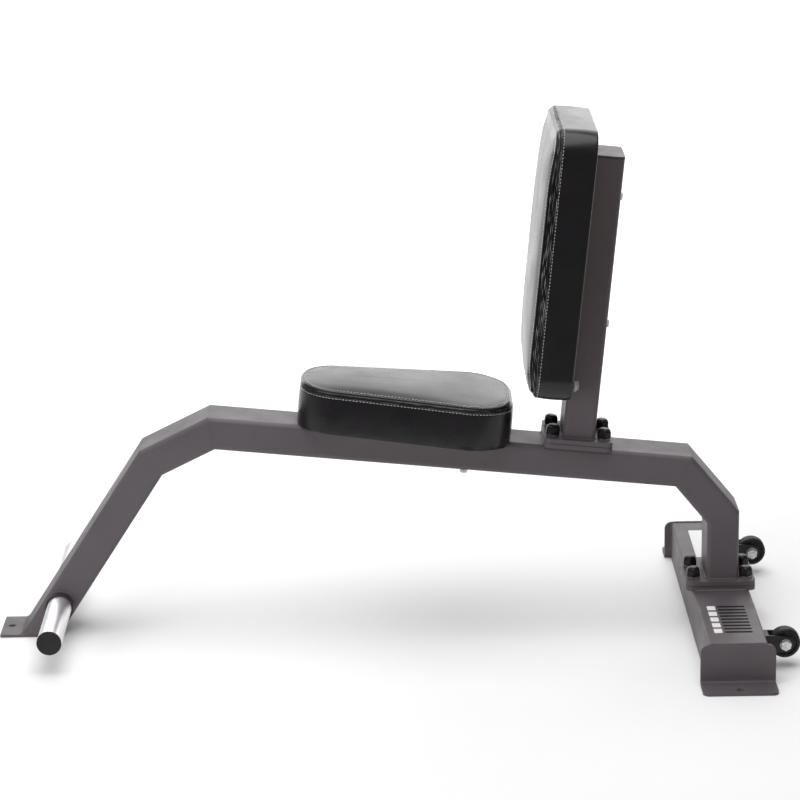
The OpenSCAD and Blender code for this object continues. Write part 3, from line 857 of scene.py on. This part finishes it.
    def puff(self):
        """Inflates the cover between its seams as cloth, then limits how far each point has moved."""
        made = self.object
        rest = [v.co.copy() for v in made.data.vertices]
        held = made.vertex_groups.new(name="held")
        held.add([i for i, tag in enumerate(self.tag_of) if tag in FIXED], 1.0, "REPLACE")
        held.add([i for i, tag in enumerate(self.tag_of) if tag == "band"], 0.6, "REPLACE")
        cloth = made.modifiers.new("cover", "CLOTH")
        settings = cloth.settings
        settings.quality = 6
        settings.mass = 0.4
        settings.tension_stiffness = settings.compression_stiffness = 30
        settings.shear_stiffness = 15
        settings.bending_stiffness = 2
        settings.use_pressure = True
        settings.uniform_pressure_force = PRESSURE
        settings.vertex_group_mass = "held"
        settings.effector_weights.gravity = 0
        for number in range(1, SIM_FRAMES + 1):
            scene.frame_set(number)
        puffed = made.evaluated_get(bpy.context.evaluated_depsgraph_get())
        shifts, first = [], self.tags.index("top")
        for v, start, tag, (k, i) in zip(puffed.to_mesh().vertices, rest, self.tag_of, self.ring_of):
            shift, most = v.co - start, MOST_PUFF.get(tag)
            if tag == "top":
                most *= 1 - self.ends[i][0] * (1 - min((k - first + 0.3) / END_ROWS, 1))
            shifts.append(shift.normalized() * most * math.tanh(shift.length / most) if most else Vector())
        puffed.to_mesh_clear()
        made.modifiers.remove(cloth)
        made.vertex_groups.clear()
        scene.frame_set(1)
        for _ in range(SMOOTH_PASSES):
            shifts = self.smoothed(shifts)
        for v, start, shift in zip(made.data.vertices, rest, shifts):
            v.co = start + shift

    def smoothed(self, shifts):
        """The shifts of the top panel averaged along their rings, so that only broad swells stay."""
        out = list(shifts)
        for k in [k for k, tag in enumerate(self.tags[:-1]) if tag == "top"]:
            ring = [shifts[self.index_at[k * AROUND + i]] for i in range(AROUND)]
            for i in range(AROUND):
                near = [ring[(i + j) % AROUND] for j in (-6, -4, -2, 0, 2, 4, 6)]
                out[self.index_at[k * AROUND + i]] = sum(near, Vector()) / len(near)
        return out

    def relax(self):
        """Evens out the middle of the top panel, so that its corners and its spine leave no mark."""
        base = self.place(Vector((0, 0, 0)))
        along = (self.place(Vector((0, 1, 0))) - base).normalized()
        up = (self.place(Vector((0, 0, 1))) - base).normalized()
        mesh, first = self.object.data, self.tags.index("top")
        panel = [i for i, (k, _) in enumerate(self.ring_of) if k > first]
        areas, flat, heights = [0.0] * len(mesh.vertices), {}, {}
        for face in mesh.polygons:
            for i in face.vertices:
                areas[i] += face.area
        tree = KDTree(len(panel))
        for i in panel:
            at = mesh.vertices[i].co - base
            flat[i], heights[i] = Vector((at.x, at.dot(along), 0)), at.dot(up)
            tree.insert(flat[i], i)
        tree.balance()
        for i in panel:
            share = smoothstep((self.ring_of[i][0] - first - RELAX_FROM) / RELAX_ROWS)
            total = amount = 0.0
            for _, j, distance in tree.find_range(flat[i], 2.5 * RELAX_SPREAD) if share > 0 else ():
                weight = areas[j] * math.exp(-0.5 * (distance / RELAX_SPREAD) ** 2)
                total += weight
                amount += weight * heights[j]
            if total > 0:
                mesh.vertices[i].co += up * (amount / total - heights[i]) * share

    def at(self, k, i):
        """Where point i of ring k is now."""
        return self.object.data.vertices[self.index_at[k * AROUND + i % AROUND]].co

    def normal_at(self, k, i):
        """The way out of the surface at that point."""
        along = self.at(k, i + 1) - self.at(k, i - 1)
        across = self.at(k + 1, i) - self.at(k - 1, i)
        return along.cross(across).normalized()

    def wrinkle(self):
        """Creases in the band, puckers beside the seam, soft swells on the sides, pleats under the corners.

        The crests of the sharper creases are stored as an attribute, where the vinyl paints a pale highlight.
        """
        depth, length = self.wave
        band = [k for k, tag in enumerate(self.tags) if tag == "band"]
        top = [k for k, tag in enumerate(self.tags) if tag == "top"]
        moves, painted_glints = [], [0.0] * len(self.object.data.vertices)
        for i in range(AROUND):
            angle = 2 * math.pi * i / AROUND
            loop = Vector((math.cos(angle), math.sin(angle), 0))
            sway = 2.0 * noise.noise(loop * 4 + Vector((0, 0, 5))) + 0.7 * noise.noise(loop * 17)
            pull = 0.75 + 0.8 * noise.noise(loop * 17 + Vector((3, 1, 7)))
            for row, k in enumerate(band):
                t = row / (len(band) - 1)
                crease = math.sin(2 * math.pi * t * (self.seam - self.stitch) / length + sway)
                knot = 0.5 * noise.noise(loop * 22 + Vector((0, 0, 1.3 * row)))
                shine = smoothstep(0.35 + 1.5 * noise.noise(loop * 13 + Vector((0, 0, 0.45 * row))))
                crest = max(crease, 0) ** 5 * min(depth / RIDGE_DEPTH, 1)
                # how strong the painted highlight is on this crease crest
                painted_glints[self.index_at[k * AROUND + i]] = crest * shine
                fade = math.sin(math.pi * (0.06 + 0.88 * t)) ** 0.5
                moves.append((k, i, depth * (pull * crease + knot) * fade))
            for row, k in enumerate(top[:9]):
                fade = math.exp(-(((row - 3) / 2.4) ** 2))
                pucker = noise.noise(loop * 15 + Vector((0, 0, 0.3 * row))) + 0.6 * noise.noise(loop * 36)
                moves.append((k, i, PUCKER * fade * pucker))
            _, n = self.outline[i]
            corner = smoothstep(4 * abs(n.x * n.y) - 0.2)
            for k, tag in enumerate(self.tags):
                if tag == "side":
                    swell = noise.noise(loop * 6 + Vector((0, 0, self.rows[k][0].z * 30)))
                    moves.append((k, i, SWELL * swell))
                elif tag == "fold" or (tag == "under" and self.rows[k][0].z < 0):
                    pleat = abs(math.sin(math.atan2(n.y, n.x) * 9))
                    moves.append((k, i, -PLEAT * corner * pleat))
        shifts = [(k, i, self.normal_at(k, i) * amount) for k, i, amount in moves]
        for k, i, shift in shifts:
            self.object.data.vertices[self.index_at[k * AROUND + i]].co += shift
        # stores the painted highlights for the vinyl material to mix in
        self.object.data.attributes.new("painted_glint", "FLOAT", "POINT").data.foreach_set("value", painted_glints)

    def make_stitches(self):
        """Two rows of lock stitches, one on the band and one on the panel beyond the seam."""
        pitch, length, thick, sink = 6.3 * MM, 3.6 * MM, 0.50 * MM, 0.15 * MM
        rows = [self.tags.index("stitch") + 1, self.tags.index("top") + self.second_row]
        count = round(self.perimeter / pitch)
        shape = ((-0.5, -0.5), (-0.38, 0.15), (-0.12, 0.35), (0.12, 0.35), (0.38, 0.15), (0.5, -0.5))
        parts = []
        for k in rows:
            for c in range(count):
                spot = c * AROUND / count
                i, t = int(spot), spot % 1
                a, b = self.at(k, i), self.at(k, i + 1)
                here, way, out = a.lerp(b, t), (b - a).normalized(), self.normal_at(k, i)
                path = [here + way * along * length + out * (lift * MM + sink) for along, lift in shape]
                parts.append(tube_along(path, lambda d: thick, 6, False))
        joined_piece(self.name + "_stitches", parts, THREAD)

    def make_staples(self):
        """Staples that hold the cover's edge to the underside of the board."""
        pitch, half, thick, inset = 24 * MM, 5 * MM, 0.45 * MM, 19 * MM
        shape = ((-1.0, 0.2), (-0.94, -1.4), (-0.5, -1.6), (0.5, -1.6), (0.94, -1.4), (1.0, 0.2))
        count = round(self.perimeter / pitch)
        parts = []
        for c in range(count):
            p, n = self.outline[int(c * AROUND / count)]
            skew = 0.35 * noise.noise(Vector((c * 1.7, 0.3, 0.9)))
            way = Vector((-n.y, n.x)) * math.cos(skew) + n * math.sin(skew)
            path = []
            for t, h in shape:
                spot = p - n * inset + way * half * t
                path.append(self.place(Vector((spot.x, spot.y, h * MM))))
            parts.append(tube_along(path, lambda d: thick, 6, False))
        joined_piece(self.name + "_staples", parts, LOOKS["zinc"])

    def finish(self):
        """Makes the whole pad with its stitches and staples."""
        self.build()
        self.puff()
        self.relax()
        self.wrinkle()
        self.make_stitches()
        self.make_staples()
        smooth = self.object.modifiers.new("smooth", "SUBSURF")
        smooth.levels = smooth.render_levels = 1
        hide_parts(self.node)


SEAT_FROM = 156 * MM
BACK_FROM = 105 * MM

seat = Pad(
    "seat_pad",
    "seat_cushion",
    (166 * MM, 270 * MM, 392 * MM, 70 * MM, 78 * MM),
    lambda p: on_beam(p.x, SEAT_FROM + p.y, p.z),
    seam=79.0 * MM,
    stitch=69.0 * MM,
    crown=(4.5 * MM, 1.5 * MM, 0.13, 0.16),
    wave=(0.30 * MM, 7.0 * MM),
    low_end=(0.5 * MM, 60 * MM, 0.5 * MM),
    high_end=(2.0 * MM, 90 * MM, 2.0 * MM),
    second_row=2,
)
seat.finish()

back = Pad(
    "backrest_pad",
    "backrest_cushion",
    (284 * MM, 308 * MM, 499 * MM, 46 * MM, 44 * MM),
    lambda p: on_beam(p.x, POST_FRONT - p.z, BACK_FROM + p.y),
    seam=77.0 * MM,
    stitch=60.0 * MM,
    crown=(4.5 * MM, 2.0 * MM, 0.07, 0.12),
    wave=(1.5 * MM, 3.8 * MM),
    low_end=(8.0 * MM, 80 * MM, 6.0 * MM),
    high_end=(6.5 * MM, 120 * MM, 2.5 * MM),
    second_row=0,
)
back.finish()

# ---- corner tucks of the backrest


TUCK_X, TUCK_Y, TUCK_BEHIND = 131 * MM, 35 * MM, 6.5 * MM
TUCK_SIZE = (7 * MM, 11 * MM, 7 * MM)


def tuck(side):
    """A pale grey folded lump behind a lower corner of the backrest."""
    around, rings = 28, 14
    centre = Vector((side * TUCK_X, TUCK_Y, -TUCK_BEHIND))
    points = []
    for r in range(rings + 1):
        polar = math.pi * (0.02 + 0.96 * r / rings)
        for k in range(around):
            a = 2 * math.pi * k / around
            d = Vector((math.sin(polar) * math.cos(a), math.cos(polar), math.sin(polar) * math.sin(a)))
            lump = noise.noise(d * 1.9 + Vector((side, 0, 0)))
            fold = 1 - 0.22 * abs(math.sin(2.5 * a + 2.6 * d.y)) + 0.36 * lump
            spot = centre + Vector([x * size for x, size in zip(d, TUCK_SIZE)]) * fold
            spot.x += side * 0.35 * (spot.y - centre.y)
            points.append(back.place(spot))
    return points, ring_faces(rings + 1, around) + end_faces(rings + 1, around)


joined_piece("backrest_tucks", [tuck(1), tuck(-1)], pale_tuck_surface("pale_tuck_look"))

# ---- nut caps

NUT_CAP_H = 17.5 * MM
NUT_CAP_FLATS, NUT_CAP_CORNERS = 12 * MM, 13.5 * MM
BOLT_X = 32 * MM


def nut_cap(place):
    """One cap: hexagonal skirt with softened corners, round shoulder and a slightly flat crown."""
    around, shoulder, narrow = 72, 7.0 * MM, 0.985
    levels = [(0.0, narrow), (0.4 * MM, 1.0), (4 * MM, 1.0), (NUT_CAP_H - shoulder, narrow)]
    points = []
    for h, size in levels:
        points.append([(cap_radius(2 * math.pi * k / around) * size, k, h) for k in range(around)])
    for turn in (12, 24, 36, 48, 60, 72, 82, 90):
        a = math.radians(turn)
        ring = []
        for k in range(around):
            hexagon = cap_radius(2 * math.pi * k / around) * narrow
            radius = hexagon + (NUT_CAP_FLATS - hexagon) * math.sin(a) - shoulder * (1 - math.cos(a))
            ring.append((max(radius, 0), k, NUT_CAP_H - shoulder * (1 - math.sin(a))))
        points.append(ring)
    points.append([(NUT_CAP_FLATS * 0.12, k, NUT_CAP_H + 0.3 * MM) for k in range(around)])
    flat = []
    for ring in points:
        for radius, k, h in ring:
            a = 2 * math.pi * k / around
            flat.append(place(radius * math.cos(a), radius * math.sin(a), min(h, NUT_CAP_H)))
    return flat, ring_faces(len(points), around) + end_faces(len(points), around)


def cap_radius(angle):
    """Radius of the hexagon at an angle, with its corners softened."""
    sixth = math.pi / 3
    from_flat = (angle % sixth) - sixth / 2
    return min(NUT_CAP_FLATS / math.cos(from_flat), NUT_CAP_CORNERS)


def make_nut_caps(node, middle_y, spacing, place):
    """Four caps about a middle, all in place of one node."""
    spots = [(x, middle_y + y) for x in (-BOLT_X, BOLT_X) for y in (-spacing / 2, spacing / 2)]
    parts = [nut_cap(lambda u, v, h, x=x, y=y: place(x + u, y + v, h)) for x, y in spots]
    made = joined_piece(node + "_domed", parts, LOOKS["black_plastic"])
    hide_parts(node)


WASHER_T = 2.5 * MM
STACK = 2 * FLANGE_T + WASHER_T
base_y = middle("base_mount_plate").y
base_cap_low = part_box("base_nut_caps")[0].z
make_nut_caps("post_nut_caps", POST_S, POST_BOLTS, lambda x, y, h: on_beam(x, y, STACK + h))
make_nut_caps("base_nut_caps", base_y, LEG_BOLTS, lambda x, y, h: Vector((x, y, base_cap_low + h)))

# ---- plain bands on the base


STRIPES_FROM, STRIPES_TO = 146 * MM, 294 * MM
STRIPE_Y, DASH_Y = (-17 * MM, 33 * MM), (-36 * MM, -21 * MM)
BAND_X, BAND_Y = (-291 * MM, -130 * MM), (-26 * MM, 28 * MM)
FILM_T, FILM_R = 0.15 * MM, 2 * MM


def film(name, x_span, y_span, look):
    """A thin film with round corners on top of the base; y is from the middle of the mount plate."""
    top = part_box("base_channel")[1].z
    points, _ = rounded_rectangle(x_span[1] - x_span[0], y_span[1] - y_span[0], FILM_R)
    centre = Vector((sum(x_span) / 2, base_y + sum(y_span) / 2))
    count = len(points)
    rings = []
    for inset, height in ((0, 0), (0, FILM_T * 0.7), (FILM_T, FILM_T)):
        for p in points:
            q = p * (1 - inset / p.length) + centre
            rings.append(Vector((q.x, q.y, top + height)))
    faces = ring_faces(3, count) + end_faces(3, count)[1:]
    piece(name, rings, faces, look, smooth=False)


def film_row(name, count, share, y_span, look):
    """Equal films side by side on the near half of the base; share is how much of the pitch each covers."""
    pitch = (STRIPES_TO - STRIPES_FROM) / count
    for number in range(count):
        x = STRIPES_FROM + pitch * number
        film(f"{name}_{number}", (x, x + pitch * share), y_span, look)


film_row("near_stripe", 9, 0.46, STRIPE_Y, BLACK_FILM)
film_row("near_dash", 5, 0.72, DASH_Y, WHITE_FILM)
film("far_band_white", BAND_X, BAND_Y, WHITE_FILM)

# ---- wheels


def make_wheel(side):
    """A moulded roller: rounded tread with two shallow grooves, dished faces with ribs, raised hub."""
    node, body = side + "_wheel", side + "_wheel_set"
    low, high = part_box(node)
    centre = (low + high) / 2
    outer, half = (high.z - low.z) / 2, (high.x - low.x) / 2
    bore, groove = 8.0 * MM, 0.5 * MM
    hub, dish_in, dish_out = 11.5 * MM, 12.5 * MM, 20.5 * MM
    hub_face = [
        (bore, half - 0.6 * MM), (bore + 0.6 * MM, half), (hub, half), (hub + 0.4 * MM, half - 0.5 * MM)
    ]
    dish = [(dish_in, half - 2.2 * MM), (dish_out - 1.0 * MM, half - 2.2 * MM), (dish_out, half - 1.0 * MM)]
    rim = [
        (dish_out + 0.8 * MM, half - 0.2 * MM), (outer - 3.4 * MM, half - 0.1 * MM),
        (outer - 1.6 * MM, half - 0.9 * MM), (outer - 0.5 * MM, half - 2.4 * MM), (outer, half - 4.2 * MM),
    ]
    tread = [(outer, 4.4 * MM), (outer - groove, 4.0 * MM), (outer - groove, 3.2 * MM), (outer, 2.8 * MM)]
    one_side = hub_face + dish + rim + tread + [(outer, 0.0)]
    profile = one_side + [(r, -x) for r, x in reversed(one_side[:-1])]
    around = 96
    points = []
    for k in range(around):
        a = 2 * math.pi * k / around
        rib = 1.0 if k % 12 in (0, 1) else 0.0
        for r, x in profile:
            in_dish = dish_in - 0.1 * MM < r < dish_out - 0.5 * MM
            lift = 1.5 * MM * rib if in_dish else 0.0
            points.append(centre + Vector((x + math.copysign(lift, x), r * math.cos(a), r * math.sin(a))))
    faces = ring_faces(around, len(profile), closed=True)
    made = piece(side + "_roller", points, faces, LOOKS["wheel_rubber"], body)
    made.data.set_sharp_from_angle(angle=math.radians(38))
    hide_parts(node)


make_wheel("left")
make_wheel("right")

# ---- finish

scene.view_settings.view_transform = "Standard"
